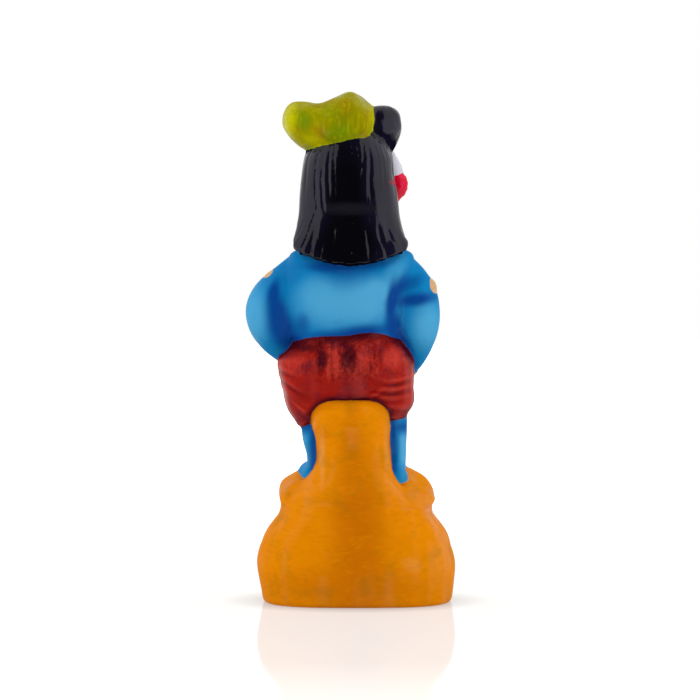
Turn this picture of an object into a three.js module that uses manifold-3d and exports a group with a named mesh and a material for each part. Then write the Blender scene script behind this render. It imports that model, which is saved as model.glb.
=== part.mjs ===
// A painted clay figurine, moulded as one solid: a figure with its hands on its hips, in a cap and
// a draped dhoti, stands on a mound with a prop behind its legs. Millimetres, +Z up. The figure
// faces -Y, its left side is +X, and the origin is the middle of the mound's underside.
import * as THREE from 'three';
import { mergeVertices } from 'three/addons/utils/BufferGeometryUtils.js';
import Module from 'manifold-3d';

const wasm = await Module();
wasm.setup();

// Heights of the figure's landmarks
const GROOVE_Z = 36.5;
const LEDGE_Z = 50;
const HEM_Z = 70;
const WAIST_Z = 104;
const SHOULDER_Z = 129;
const CHIN_Z = 149;
const HAIRLINE_Z = 179;
const CROWN_Z = 198.5;

// Half sizes and places that several forms share
const MOUND_HALF_WIDTH = 38.6;
const MOUND_HALF_DEPTH = 31.5;
const BODY_X = 2.6;
const LEG_X = 14;
const PROP_BACK_Y = 24.5;
const HEAD_HALF_WIDTH = 15.2;
const FACE_Y = -18.6;
const CAP_LEFT_X = 28.4;
const CAP_RIGHT_X = -7.4;

const FACE_THIRD = (HAIRLINE_Z - CHIN_Z) / 3;
const BROW_Z = HAIRLINE_Z - FACE_THIRD;
const EYE_Z = BROW_Z - 0.28 * FACE_THIRD;
const NOSE_Z = CHIN_Z + FACE_THIRD;
const MOUTH_Z = NOSE_Z - 0.36 * FACE_THIRD;

const PAINT = {
  ochre: '#dd8103',
  skin: '#3f9ccb',
  dhoti: '#a92420',
  hair: '#1d1c22',
  cap: '#a8a60b',
  white: '#dcdbe4',
  red: '#e5123a',
  gold: '#d9b083',
};

const FULL_TURN = 2 * Math.PI;
const SIDES = [1, -1];

function clamp(value, low, high) {
  return Math.min(high, Math.max(low, value));
}

// Runs from 0 to 1 as the value goes from one place to another, with no corner at either.
function ease(value, from, to) {
  const share = clamp((value - from) / (to - from), 0, 1);
  return share * share * (3 - 2 * share);
}

// A ridge of height 1 at a place, which falls away over a width.
function ridge(value, place, width) {
  return Math.exp(-(((value - place) / width) ** 2));
}

// The values between keys, each [place, value, value, ...], on smooth curves that never overshoot.
function between(keys) {
  const slope = (i, k) => (keys[i + 1][k] - keys[i][k]) / (keys[i + 1][0] - keys[i][0]);
  const tangent = (i, k) => {
    if (i === 0) return slope(0, k);
    if (i === keys.length - 1) return slope(i - 1, k);
    const before = slope(i - 1, k);
    const after = slope(i, k);
    return before * after <= 0 ? 0 : (2 * before * after) / (before + after);
  };
  return (place) => {
    const at = clamp(place, keys[0][0], keys[keys.length - 1][0]);
    let i = 0;
    while (i < keys.length - 2 && at > keys[i + 1][0]) i += 1;
    const span = keys[i + 1][0] - keys[i][0];
    const t = (at - keys[i][0]) / span;
    return keys[i].slice(1).map((value, index) => {
      const k = index + 1;
      return value * (1 + 2 * t) * (1 - t) ** 2
        + keys[i + 1][k] * t * t * (3 - 2 * t)
        + span * t * (1 - t) * (tangent(i, k) * (1 - t) - tangent(i + 1, k) * t);
    });
  };
}

// One point of a rounded outline: square is 2 for an ellipse, and more for fuller corners.
function outline(angle, halfWidth, halfDepth, square) {
  const bend = (part) => Math.sign(part) * Math.abs(part) ** (2 / square);
  return [halfWidth * bend(Math.cos(angle)), halfDepth * bend(Math.sin(angle))];
}

// Closes a pile of rings, all with as many points, into one skin whose ends are flat fans.
function skin(rings) {
  const count = rings[0].length;
  const points = rings.flat();
  const faces = [];
  for (let row = 0; row + 1 < rings.length; row += 1) {
    for (let i = 0; i < count; i += 1) {
      const a = row * count + i;
      const b = row * count + ((i + 1) % count);
      faces.push(a, b, b + count, a, b + count, a + count);
    }
  }
  for (const [row, low] of [[0, true], [rings.length - 1, false]]) {
    const middle = new THREE.Vector3();
    rings[row].forEach((point) => middle.addScaledVector(point, 1 / count));
    points.push(middle);
    for (let i = 0; i < count; i += 1) {
      const a = row * count + i;
      const b = row * count + ((i + 1) % count);
      faces.push(...(low ? [b, a, points.length - 1] : [a, b, points.length - 1]));
    }
  }
  return new THREE.BufferGeometry().setFromPoints(points).setIndex(faces);
}

// A form piled up from level outlines. Its keys are [z, left, right, front, back]; it starts and
// ends flat, with its edges rounded by foot and top in roundSteps. swirl turns a level's points
// along its outline, bump pushes a point out, and move shifts it.
function pile({
  keys, around, rows, foot = 1, top = 1, roundSteps = 2, square = 2.2, swirl = () => 0,
  bump = () => 0, move = (point) => point,
}) {
  const level = between(keys);
  const low = keys[0][0];
  const high = keys[keys.length - 1][0];
  const levels = [];
  for (let step = 0; step < roundSteps; step += 1) {
    const turn = (step / roundSteps) * (Math.PI / 2);
    levels.push([low + foot * (1 - Math.cos(turn)), foot * (1 - Math.sin(turn))]);
  }
  for (let row = 0; row <= rows; row += 1) {
    levels.push([low + foot + ((high - top - low - foot) * row) / rows, 0]);
  }
  for (let step = roundSteps - 1; step >= 0; step -= 1) {
    const turn = (step / roundSteps) * (Math.PI / 2);
    levels.push([high - top * (1 - Math.cos(turn)), top * (1 - Math.sin(turn))]);
  }
  return skin(levels.map(([z, inset]) => {
    const [left, right, front, back] = level(z);
    return Array.from({ length: around }, (_, i) => {
      const angle = (i / around) * FULL_TURN;
      const out = bump(angle, z) - inset;
      const [x, y] = outline(
        angle + swirl(z), (left - right) / 2 + out, (back - front) / 2 + out, square);
      return move(new THREE.Vector3((left + right) / 2 + x, (front + back) / 2 + y, z));
    });
  }));
}

// What a bent line through stations has at a share of its length: its point, its direction, and
// its half width and half thickness
function along(stations, share) {
  const line = between(stations.map((station, i) => [i / (stations.length - 1), ...station]));
  const step = 0.001;
  const [x, y, z, halfWidth, halfThickness] = line(share);
  const before = new THREE.Vector3(...line(share - step));
  const tangent = new THREE.Vector3(...line(share + step)).sub(before).normalize();
  return { point: new THREE.Vector3(x, y, z), tangent, halfWidth, halfThickness };
}

// A round form along a bent line. Its stations are [x, y, z, half width, half thickness], with the
// width measured along side. Both ends are domes.
function limb({ stations, around, rows, side = [0, 1, 0], dome = 3, bump = () => 0 }) {
  const rings = [];
  const ring = (share, ahead, scale) => {
    const { point, tangent, halfWidth, halfThickness } = along(stations, share);
    const width = new THREE.Vector3(...side).addScaledVector(
      tangent, -tangent.dot(new THREE.Vector3(...side))).normalize();
    const thickness = new THREE.Vector3().crossVectors(tangent, width);
    const middle = point.addScaledVector(tangent, ahead * halfThickness);
    rings.push(Array.from({ length: around }, (_, i) => {
      const angle = (i / around) * FULL_TURN;
      const out = bump(angle, share);
      const [a, b] = outline(angle, (halfWidth + out) * scale, (halfThickness + out) * scale, 2);
      return middle.clone().addScaledVector(width, a).addScaledVector(thickness, b);
    }));
  };
  for (let step = 1; step <= dome; step += 1) {
    const turn = (step / (dome + 1)) * (Math.PI / 2);
    ring(0, -Math.cos(turn), Math.sin(turn));
  }
  for (let row = 0; row <= rows; row += 1) ring(row / rows, 0, 1);
  for (let step = dome; step >= 1; step -= 1) {
    const turn = (step / (dome + 1)) * (Math.PI / 2);
    ring(1, Math.cos(turn), Math.sin(turn));
  }
  return skin(rings);
}

// An egg: a ball drawn out to three half sizes, and turned about the x, y and z axes in degrees.
function egg(place, halfSizes, turn = [0, 0, 0], around = 12, rows = 8) {
  const radians = turn.map(THREE.MathUtils.degToRad);
  return new THREE.SphereGeometry(1, around, rows)
    .scale(...halfSizes)
    .applyMatrix4(new THREE.Matrix4().makeRotationFromEuler(new THREE.Euler(...radians)))
    .translate(...place);
}

// The front of a pile's surface at one place: its y there.
function frontOf({ keys, square = 2.2 }, x, z) {
  const [left, right, front, back] = between(keys)(z);
  const share = clamp(Math.abs(x - (left + right) / 2) / ((left - right) / 2), 0, 1);
  return (front + back) / 2 - ((back - front) / 2) * (1 - share ** square) ** (1 / square);
}

// The mound, with a groove below the ledge that the feet stand on. The groove fades out behind,
// where the prop spreads into the mound, and the ledge falls away behind the heels.
function mound() {
  const halfWidths = [
    [0, 36.9], [5, 37.5], [9, 38.2], [14, MOUND_HALF_WIDTH], [22, 37.3], [27, 35.2], [31, 32.6], [34, 30.2],
    [GROOVE_Z, 28.7], [39, 29.6], [42.5, 30], [46, 28.6], [49, 25.4], [LEDGE_Z + 2, 20],
  ];
  const fill = between([
    [18, 0], [27, 1.1], [31, 2.3], [34, 3.4], [GROOVE_Z, 3.9], [39, 2.7], [42.5, 1.7], [46, 2.4],
    [49, 4], [LEDGE_Z + 2, 6],
  ]);
  const depthShare = MOUND_HALF_DEPTH / MOUND_HALF_WIDTH;
  return pile({
    keys: halfWidths.map(([z, half]) => [z, half, -half, -half * depthShare, half * depthShare]),
    around: 28,
    rows: 10,
    foot: 1.8,
    top: 1.5,
    square: 2.9,
    bump: (angle, z) => fill(z)[0] * ease(Math.sin(angle), 0.45, 0.9),
    move(point) {
      const high = ease(point.z, GROOVE_Z, LEDGE_Z);
      const left = 1.7 * ridge(point.z, 48, 3) * ease(point.x, 4, 20);
      const right = 1.2 * ridge(point.z, 41, 2.8) * ease(-point.x, 4, 20);
      const heel = 1.3 * ease(-point.x, 6, 13);
      const fall = (2.8 + heel) * ease(point.y, -3, 4) + 7 * ease(point.y, 3, 20);
      point.z -= high * (0.015 * point.x + fall);
      point.x += left - right - 0.6 * (1 - ease(point.z, 4, 18));
      return point;
    },
  });
}

// The prop that rises behind the legs to the hips: a column with a rounded head
function prop() {
  const head = HEM_Z + 9;
  return pile({
    keys: [
      [32, 24, -20, -8, 25.4],
      [41, 24.8, -20.8, -8, 27.4],
      [LEDGE_Z - 3, 20.4, -16.2, -8, 26],
      [LEDGE_Z + 1.5, 16.6, -13.9, -8, 24.4],
      [56, 14.9, -13.2, -8, 23.6],
      [64, 15.1, -12.9, -8, 23.8],
      [HEM_Z, 17.1, -12.9, -8, PROP_BACK_Y],
      [head, 16.8, -12.8, -8, PROP_BACK_Y],
    ],
    around: 18,
    rows: 6,
    foot: 1,
    top: 7,
    roundSteps: 3,
    square: 2.7,
  });
}

function leg(side) {
  const out = side > 0 ? 0 : -0.6;
  return limb({
    stations: [
      [side * LEG_X + 0.8, 0, HEM_Z + 4, 7, 6.8],
      [side * LEG_X + 0.4, 0.4, 64, 6.5, 6.6],
      [side * LEG_X + out, 1, 57, 5.2, 5.3],
      [side * LEG_X + out, 1.6, LEDGE_Z + 1, 4.9, 5],
    ],
    around: 8,
    rows: 4,
    side: [1, 0, 0],
    dome: 1,
  });
}

// A bare foot from heel to toes. The right heel sinks lower than the left one.
function foot(side) {
  const toeX = side > 0 ? 15.6 : -15.4;
  const sole = side > 0 ? LEDGE_Z : LEDGE_Z - 0.4;
  const heel = side > 0 ? [15.8, 4.2, sole - 0.2, 5, 3.6] : [-14.9, 5.8, sole - 0.8, 5.4, 4.4];
  const instep = side > 0 ? [16.4, -4, sole, 6.2, 4.8] : [-14.2, -4, sole, 5.2, 5.2];
  const forms = [limb({
    stations: [
      heel,
      instep,
      [side * LEG_X + 0.6 * (toeX - side * LEG_X), -12, sole, 6, 3.7],
      [toeX, -17.6, sole, 6.2, 2.8],
    ],
    around: 10,
    rows: 4,
    side: [1, 0, 0],
    dome: 1,
  })];
  const toes = 5;
  for (let toe = 0; toe < toes; toe += 1) {
    const across = (toe / (toes - 1) - 0.5) * 10.6;
    const size = toe === 0 ? 1.9 : 1.45;
    const back = 0.32 * toe * toe;
    forms.push(egg([toeX + side * across, -22.6 + back, sole - 0.4], [size, 3, size], [0, 0, 0], 6, 3));
  }
  return forms;
}

// The dhoti, tucked up at the waist: gathers below the waist at the back, and folds that swing
// round each hip
function dhoti() {
  const gathers = [12.5, 7.6, 3.2, -6.5];
  const swags = [0, 1, 2, 3];
  return pile({
    keys: [
      [HEM_Z - 1, 22.2, -19.6, -11.5, 12],
      [HEM_Z + 2, 23.9, -20.8, -12.6, 13.2],
      [75, 26.2, -22, -13.6, 15],
      [79, 27.7, -22.7, -14.4, 16.3],
      [84, 28.6, -22.4, -14.9, 17.2],
      [89, 29.8, -22.6, -15.2, 17.4],
      [94, 30.4, -22.4, -15, 16.6],
      [98, 26.8, -21, -14.6, 15.2],
      [101.5, 24.4, -19, -14, 13.8],
      [WAIST_Z + 1, 20.5, -15.5, -12.6, 12],
    ],
    around: 40,
    rows: 10,
    foot: 0.8,
    top: 1,
    square: 2.15,
    bump(angle, z) {
      const x = BODY_X + 25.5 * Math.cos(angle);
      const behind = ease(Math.sin(angle), 0.05, 0.35);
      const below = ease(z, 87, 93) * (1 - ease(z, 100, WAIST_Z));
      const gathered = gathers.reduce((sum, place) => sum + ridge(x, place, 1.5), 0);
      const hip = ease(Math.abs(Math.cos(angle)), 0.35, 0.75);
      const reach = Math.abs(Math.sin(angle));
      const swung = swags.reduce((sum, swag) => sum + ridge(z, 77 + 5 * swag - 5 * reach, 1.5), 0);
      return 0.9 * behind * below * gathered + 0.3 * hip * swung;
    },
    move(point) {
      const low = 1 - ease(point.z, HEM_Z, HEM_Z + 10);
      const hem = 2.4 - 3.4 * ease(point.x, 15, 23);
      const high = ease(point.z, 98, WAIST_Z);
      const wave = Math.sin((point.x + 1) * 0.23) * 0.8;
      point.z += low * hem - high * wave;
      return point;
    },
  });
}

// The dhoti's pleated end, which hangs in front between the legs
function pleats() {
  const folds = 3;
  return pile({
    keys: [
      [56, BODY_X + 8, BODY_X - 8, -17.6, -6],
      [68, BODY_X + 6.6, BODY_X - 6.6, -18, -6],
      [84, BODY_X + 5, BODY_X - 5, -17.8, -6],
      [WAIST_Z - 1, BODY_X + 3.6, BODY_X - 3.6, -15.6, -6],
    ],
    around: 24,
    rows: 3,
    foot: 0.6,
    top: 1.4,
    square: 3.4,
    bump(angle) {
      const front = ease(-Math.sin(angle), 0.1, 0.5);
      return 0.8 * front * Math.cos(folds * Math.PI * Math.cos(angle));
    },
  });
}

const TORSO = {
  keys: [
    [96, 24, -17.6, -12.4, 11.4],
    [103, 25.4, -18.4, -13, 11.8],
    [109, 27.4, -18, -13, 12.4],
    [116, 29, -19, -13.6, 13.4],
    [123, 28.6, -20.6, -13.4, 14.4],
    [SHOULDER_Z, 26.2, -21.8, -11, 15.6],
    [SHOULDER_Z + 4, 26.2, -22.8, -8.4, 15.4],
    [SHOULDER_Z + 8, 25.6, -22.2, -7.4, 13],
    [SHOULDER_Z + 10, 16, -13, -7.2, 10],
    [SHOULDER_Z + 12, 12.2, -7, -7.6, 7.4],
    [CHIN_Z + 5, 11, -5.8, -9, 6],
  ],
  around: 16,
  rows: 8,
  square: 2.3,
};

// The upper arm and forearm on one bent line, from the shoulder round the elbow to the wrist
const ARM_STATIONS = {
  left: [
    [20, -0.4, SHOULDER_Z, 7.6, 8.2], [26.4, 0.4, 123.6, 7.8, 8.4], [32.8, 1.6, 118, 7.8, 8.6],
    [34.6, 2, 112, 7.8, 8.8], [31.4, 0.2, 104.6, 7.2, 8.1], [28, -3.4, 99, 5.8, 6.2],
    [25, -8.6, 95, 4.4, 4.4],
  ],
  right: [
    [-14.6, -0.4, SHOULDER_Z + 0.6, 7.6, 8.4], [-20.6, 0.6, 124.4, 7.8, 8.2],
    [-24.2, 1.8, 117, 7.8, 8.4], [-24.4, 1.4, 110, 7.8, 8.6], [-22.6, -1.6, 102, 7.2, 8.2],
    [-21.4, -5.6, 95, 5.6, 6], [-19.4, -9.8, 90.4, 4.3, 4.1],
  ],
};

function arm(stations) {
  return limb({ stations, around: 12, rows: 8, dome: 1 });
}

// A hand that rests on the hip, its fingers pointing in along the waist and its thumb up
function hand(stations) {
  const [wristX, wristY, wristZ] = stations[stations.length - 1];
  const side = Math.sign(wristX);
  const forms = [limb({
    stations: [
      [wristX, wristY, wristZ, 3, 4.2],
      [wristX - side * 3.4, wristY - 4.2, wristZ - 1.4, 2.6, 5],
      [wristX - side * 7, wristY - 6.6, wristZ - 2, 2.2, 4.6],
    ],
    around: 8,
    rows: 2,
    dome: 1,
  })];
  const fingers = 4;
  for (let finger = 0; finger < fingers; finger += 1) {
    const drop = (finger - (fingers - 1) / 2) * 2.35;
    const reach = 6 - 0.5 * (finger - 1.2) ** 2;
    forms.push(limb({
      stations: [
        [wristX - side * 7, wristY - 7.2, wristZ - 1.8 - drop, 1.35, 1.35],
        [wristX - side * (7 + reach), wristY - 8.1, wristZ - 2.5 - drop * 0.92, 1.1, 1.1],
      ],
      around: 6,
      rows: 1,
      dome: 1,
    }));
  }
  forms.push(limb({
    stations: [
      [wristX - side * 2.6, wristY - 4.4, wristZ + 1.6, 1.6, 1.6],
      [wristX - side * 6.6, wristY - 5.6, wristZ + 5, 1.2, 1.2],
    ],
    around: 6,
    rows: 1,
    dome: 1,
  }));
  return forms;
}

const HEAD = {
  // z, share of the half width, front, back
  keys: [
    [CHIN_Z, 0.26, FACE_Y + 2.4, -9],
    [CHIN_Z + 2, 0.44, FACE_Y + 0.7, -5],
    [CHIN_Z + 6, 0.7, FACE_Y + 0.2, 4],
    [NOSE_Z + 1, 0.89, FACE_Y - 0.1, 10],
    [EYE_Z, 0.98, FACE_Y + 0.7, 13],
    [BROW_Z + 3, 1, FACE_Y + 0.2, 14],
    [HAIRLINE_Z, 0.94, FACE_Y + 1.6, 13],
    [HAIRLINE_Z + 5, 0.78, FACE_Y + 5.4, 11],
    [HAIRLINE_Z + 9, 0.4, FACE_Y + 11, 6],
  ].map(([z, share, front, back]) => [
    z, BODY_X + HEAD_HALF_WIDTH * share, BODY_X - HEAD_HALF_WIDTH * share, front, back,
  ]),
  around: 20,
  rows: 9,
  foot: 1.4,
  top: 2,
  square: 2.15,
};

// Calm, even features on the thirds of the face
function features() {
  const nose = limb({
    stations: [
      [BODY_X, FACE_Y + 1, BROW_Z - 1, 1.1, 1.2],
      [BODY_X, FACE_Y - 0.7, (BROW_Z + NOSE_Z) / 2, 1.3, 1.5],
      [BODY_X, FACE_Y - 1.9, NOSE_Z + 1.4, 1.9, 1.7],
    ],
    around: 8,
    rows: 2,
    side: [1, 0, 0],
    dome: 1,
  });
  const forms = [
    nose,
    egg([BODY_X, FACE_Y + 0.1, MOUTH_Z + 0.75], [3, 1.2, 0.85], [0, 0, 0], 8, 4),
    egg([BODY_X, FACE_Y + 0.2, MOUTH_Z - 0.75], [2.5, 1.3, 0.95], [0, 0, 0], 8, 4),
    egg([BODY_X, FACE_Y + 2, CHIN_Z + 2.7], [3.2, 2.6, 2.4], [0, 0, 0], 8, 4),
  ];
  for (const side of SIDES) {
    forms.push(
      egg([BODY_X + side * 1.9, FACE_Y - 0.5, NOSE_Z + 1], [1.1, 1.3, 1.1], [0, 0, 0], 6, 3),
      egg([BODY_X + side * 6, FACE_Y + 2.4, EYE_Z], [3.2, 1.5, 1.75], [0, 0, side * 12], 8, 5),
      egg([BODY_X + side * 6.8, FACE_Y + 5, NOSE_Z + 0.8], [5, 3.5, 5.2], [0, 0, 0], 8, 5),
    );
  }
  return forms;
}

function ear(side) {
  return egg([BODY_X + side * 15, -4.6, EYE_Z - 1.6], [1.6, 2.6, 4.6], [12, 0, 0], 7, 4);
}

// The long hair: a thick fall with locks combed into its back, from under the cap to the shoulders
function hair() {
  const locks = 12;
  return pile({
    keys: [
      [131, 24.2, -20.2, 7, 18.8],
      [135, 24.6, -20.5, 5.4, 18.8],
      [140, 24.2, -19.8, 3, 18.6],
      [146, 23, -18, 0.4, 18.2],
      [152, 22.1, -16.8, -2, 17.7],
      [158, 21.9, -16.4, -4.6, 18.3],
      [166, 21.2, -15, -7, 18.1],
      [172, 20.3, -14.6, -9, 17.3],
      [177, 18.6, -13.2, -13.6, 15.8],
      [182, 15.6, -10.4, -15.4, 13.2],
      [187.5, 8, -3, -8, 8],
    ],
    around: 4 * locks,
    rows: 8,
    foot: 0.8,
    top: 1.5,
    square: 2.08,
    swirl: (z) => 0.04 * Math.sin(0.14 * z),
    bump(angle, z) {
      const behind = ease(Math.sin(angle), -0.35, 0.1);
      const groove = 1 - Math.abs(Math.sin(locks * angle)) ** 0.7;
      const nape = 1 - 0.6 * ridge(z, 153, 4);
      return -1.1 * behind * nape * groove * (1 - ease(z, 174, 182));
    },
    move(point) {
      const share = (point.x - 2) / 22;
      point.z += 6.4 * share * share * (1 - ease(point.z, 131, 145));
      return point;
    },
  });
}

// The knot of hair beside the cap, with its strands wound round it
function hairKnot() {
  return limb({
    stations: [
      [-8.6, 2.4, 178.6, 7.4, 5],
      [-10.4, 2.4, 184.6, 8, 5.6],
      [-10.4, 2.4, 189.2, 7.8, 5],
    ],
    around: 12,
    rows: 2,
    side: [0.87, 0.5, 0],
    dome: 2,
    bump: (angle, share) => 0.35 * Math.cos(4 * angle + 5 * share),
  });
}

// The soft cap: it covers the top of the head and hangs over to the left in a heavy lobe
function cap() {
  const across = between([
    // x, top, bottom, half depth
    [CAP_RIGHT_X, 190.8, 187.4, 4.6],
    [-6.4, 193.2, 183.4, 9.4],
    [-5.4, 193.9, 180, 12],
    [-4.4, 194.6, 177.6, 13.8],
    [-1.6, 197.2, 176.2, 15.8],
    [1.6, CROWN_Z, 175.6, 16.8],
    [8, 196.2, 175.4, 17.4],
    [14.2, 194.2, 175.6, 16.8],
    [19.6, 194.6, 176, 14.4],
    [24, 194.6, 179, 11],
    [26.9, 192.8, 182.4, 7.4],
    [CAP_LEFT_X, 189.6, 185.6, 3],
  ]);
  const around = 18;
  const rows = 12;
  const rings = Array.from({ length: rows + 1 }, (_, row) => {
    const share = (1 - Math.cos((Math.PI * row) / rows)) / 2;
    const x = CAP_RIGHT_X + share * (CAP_LEFT_X - CAP_RIGHT_X);
    const [top, bottom, halfDepth] = across(x);
    return Array.from({ length: around }, (_unused, i) => {
      const angle = (i / around) * FULL_TURN;
      const fold = 0.5 * Math.sin(0.42 * x + 3 * angle) * ease(-Math.cos(angle), -0.2, 0.6);
      const [y, z] = outline(angle, halfDepth + fold, (top - bottom) / 2, 2.3);
      return new THREE.Vector3(x, -y, (top + bottom) / 2 + z);
    });
  });
  return skin(rings.reverse());
}

// The flower tassel below the hair knot, white blossoms above and red ones below
const TASSEL = {
  white: [[-12.6, -6.4, 176.4, 2.4, 2.2], [-14.2, -7, 172, 3.2, 2.9], [-15.4, -7.4, 167.8, 4, 3.7]],
  red: [[-15.6, -7.4, 166.2, 4.2, 4.1], [-16.2, -7.4, 162.4, 4.4, 4.2], [-14.6, -7, 158.4, 3, 2.6]],
};

function tassel(stations) {
  return limb({
    stations,
    around: 10,
    rows: 3,
    dome: 2,
    bump: (angle) => 0.4 * Math.cos(5 * angle),
  });
}

// A leaf-shaped plate on the outside of each upper arm
function armlet(side) {
  return side > 0
    ? egg([32.7, -0.4, 127.2], [4.2, 5.6, 2.4], [6, 45, -16], 8, 5)
    : egg([-29, 1.8, 121.6], [2.7, 4.6, 4.5], [0, 0, 0], 8, 5);
}

// A closed ring that follows a limb at one place
function band(stations, share, thickness) {
  const { point: middle, tangent, halfWidth, halfThickness } = along(stations, share);
  const ring = new THREE.TorusGeometry(1, 1, 4, 10);
  const radius = (halfWidth + halfThickness) / 2;
  const point = new THREE.Vector3();
  const { position } = ring.attributes;
  for (let i = 0; i < position.count; i += 1) {
    point.fromBufferAttribute(position, i);
    const turn = Math.atan2(point.y, point.x);
    const out = radius + (Math.hypot(point.x, point.y) - 1) * thickness;
    position.setXYZ(i, Math.cos(turn) * out, Math.sin(turn) * out, point.z * thickness);
  }
  const towards = new THREE.Quaternion().setFromUnitVectors(new THREE.Vector3(0, 0, 1), tangent);
  return ring.applyQuaternion(towards).translate(middle.x, middle.y, middle.z);
}

// A round-ended string of beads on the chest, lying on the front of the torso
function necklace() {
  const beads = 9;
  return Array.from({ length: beads }, (_, bead) => {
    const swing = (bead / (beads - 1) - 0.5) * 0.94 * Math.PI;
    const x = BODY_X + 9.4 * Math.sin(swing);
    const z = SHOULDER_Z + 7 - 13 * Math.cos(swing);
    return egg([x, frontOf(TORSO, x, z), z], [1.9, 1.7, 1.7], [0, 0, 0], 6, 3);
  });
}

const forms = [
  ['ochre', mound()],
  ['ochre', prop()],
  ['dhoti', dhoti()],
  ['dhoti', pleats()],
  ['skin', pile(TORSO)],
  ['skin', pile(HEAD)],
  ...features().map((form) => ['skin', form]),
  ['hair', hair()],
  ['hair', hairKnot()],
  ['cap', cap()],
  ['white', tassel(TASSEL.white)],
  ['red', tassel(TASSEL.red)],
  ...necklace().map((form) => ['gold', form]),
  ...SIDES.flatMap((side) => {
    const stations = side > 0 ? ARM_STATIONS.left : ARM_STATIONS.right;
    return [
      ['skin', leg(side)],
      ...foot(side).map((form) => ['skin', form]),
      ['skin', arm(stations)],
      ...hand(stations).map((form) => ['skin', form]),
      ['skin', ear(side)],
      ['gold', armlet(side)],
      ['gold', band(stations, 0.97, 0.8)],
    ];
  }),
];

// A closed form as a solid of its own, with its faces turned out
function solidOf(geometry) {
  const bare = new THREE.BufferGeometry().setIndex(geometry.index);
  bare.setAttribute('position', geometry.attributes.position);
  const merged = mergeVertices(bare, 1e-4);
  const corners = Array.from(merged.index.array);
  const faces = [];
  for (let i = 0; i < corners.length; i += 3) {
    const [a, b, c] = corners.slice(i, i + 3);
    if (a !== b && b !== c && c !== a) faces.push(a, b, c);
  }
  const build = (triVerts) => new wasm.Manifold(new wasm.Mesh({
    numProp: 3,
    vertProperties: new Float32Array(merged.attributes.position.array),
    triVerts: new Uint32Array(triVerts),
  }));
  const solid = build(faces);
  return solid.volume() < 0 ? build(faces.reverse()) : solid;
}

// All the forms as one solid, and the paint of the form that each triangle came from
function mould(parts) {
  const paintOf = new Map();
  const whole = parts.map(([paint, geometry]) => {
    const solid = solidOf(geometry).asOriginal();
    paintOf.set(solid.originalID(), new THREE.Color(PAINT[paint]));
    return solid;
  }).reduce((joined, solid) => joined.add(solid));
  const { numProp, vertProperties, triVerts, runIndex, runOriginalID } = whole.getMesh();
  const positions = [];
  const colours = [];
  runOriginalID.forEach((id, run) => {
    const paint = paintOf.get(id);
    for (let corner = runIndex[run]; corner < runIndex[run + 1]; corner += 1) {
      const start = triVerts[corner] * numProp;
      positions.push(...vertProperties.slice(start, start + 3));
      colours.push(paint.r, paint.g, paint.b);
    }
  });
  const geometry = new THREE.BufferGeometry();
  geometry.setAttribute('position', new THREE.Float32BufferAttribute(positions, 3));
  geometry.setAttribute('color', new THREE.Float32BufferAttribute(colours, 3));
  geometry.computeVertexNormals();
  return geometry;
}

const figurine = new THREE.Mesh(
  mould(forms),
  new THREE.MeshStandardMaterial({ vertexColors: true, roughness: 0.3, metalness: 0 }),
);
figurine.name = 'krishna_figurine';

const group = new THREE.Group();
group.add(figurine);

export default group;
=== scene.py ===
# The painted clay figurine, dressed for its looks: one moulded solid, with its carving and its paint
import math

import bmesh
import bpy
import numpy as np
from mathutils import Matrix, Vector
from mathutils.bvhtree import BVHTree


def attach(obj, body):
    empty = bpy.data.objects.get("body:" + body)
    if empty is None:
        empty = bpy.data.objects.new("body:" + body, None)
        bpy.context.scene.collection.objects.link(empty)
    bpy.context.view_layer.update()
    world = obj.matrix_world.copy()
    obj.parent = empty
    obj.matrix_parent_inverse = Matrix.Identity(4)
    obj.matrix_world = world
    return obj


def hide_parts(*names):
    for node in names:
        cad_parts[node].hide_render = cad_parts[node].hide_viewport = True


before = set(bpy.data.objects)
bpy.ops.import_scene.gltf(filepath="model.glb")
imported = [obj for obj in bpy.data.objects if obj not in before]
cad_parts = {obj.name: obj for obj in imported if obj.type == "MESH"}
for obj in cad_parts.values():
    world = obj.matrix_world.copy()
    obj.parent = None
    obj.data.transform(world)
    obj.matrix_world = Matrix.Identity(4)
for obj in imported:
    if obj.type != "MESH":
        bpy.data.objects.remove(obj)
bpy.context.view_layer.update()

MM = 0.001
NODE = "krishna_figurine"

# Heights of the figure's landmarks, in millimetres as in its solid
GROOVE_Z = 36.5
LEDGE_Z = 50
HEM_Z = 70
WAIST_Z = 104
SHOULDER_Z = 129
CHIN_Z = 149
HAIRLINE_Z = 179
CROWN_Z = 198.5

# Half sizes and places that several forms share
MOUND_HALF_WIDTH = 38.6
MOUND_HALF_DEPTH = 31.5
BODY_X = 2.6
LEG_X = 14
PROP_BACK_Y = 24.5
HEAD_HALF_WIDTH = 15.2
FACE_Y = -18.6
CAP_LEFT_X = 28.4
CAP_RIGHT_X = -7.4

FACE_THIRD = (HAIRLINE_Z - CHIN_Z) / 3
BROW_Z = HAIRLINE_Z - FACE_THIRD
EYE_Z = BROW_Z - 0.28 * FACE_THIRD
NOSE_Z = CHIN_Z + FACE_THIRD
MOUTH_Z = NOSE_Z - 0.36 * FACE_THIRD

SIDES = (1, -1)
VOXEL = 0.75
SEAM_Y = 2.4


def ease(value, start, end):
    """Runs from 0 to 1 between two places, with no corner at either."""
    share = np.clip((value - start) / (end - start), 0, 1)
    return share * share * (3 - 2 * share)


def ridge(value, place, width):
    """A ridge of height 1 at a place, which falls away over a width."""
    return np.exp(-(((value - place) / width) ** 2))


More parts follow.
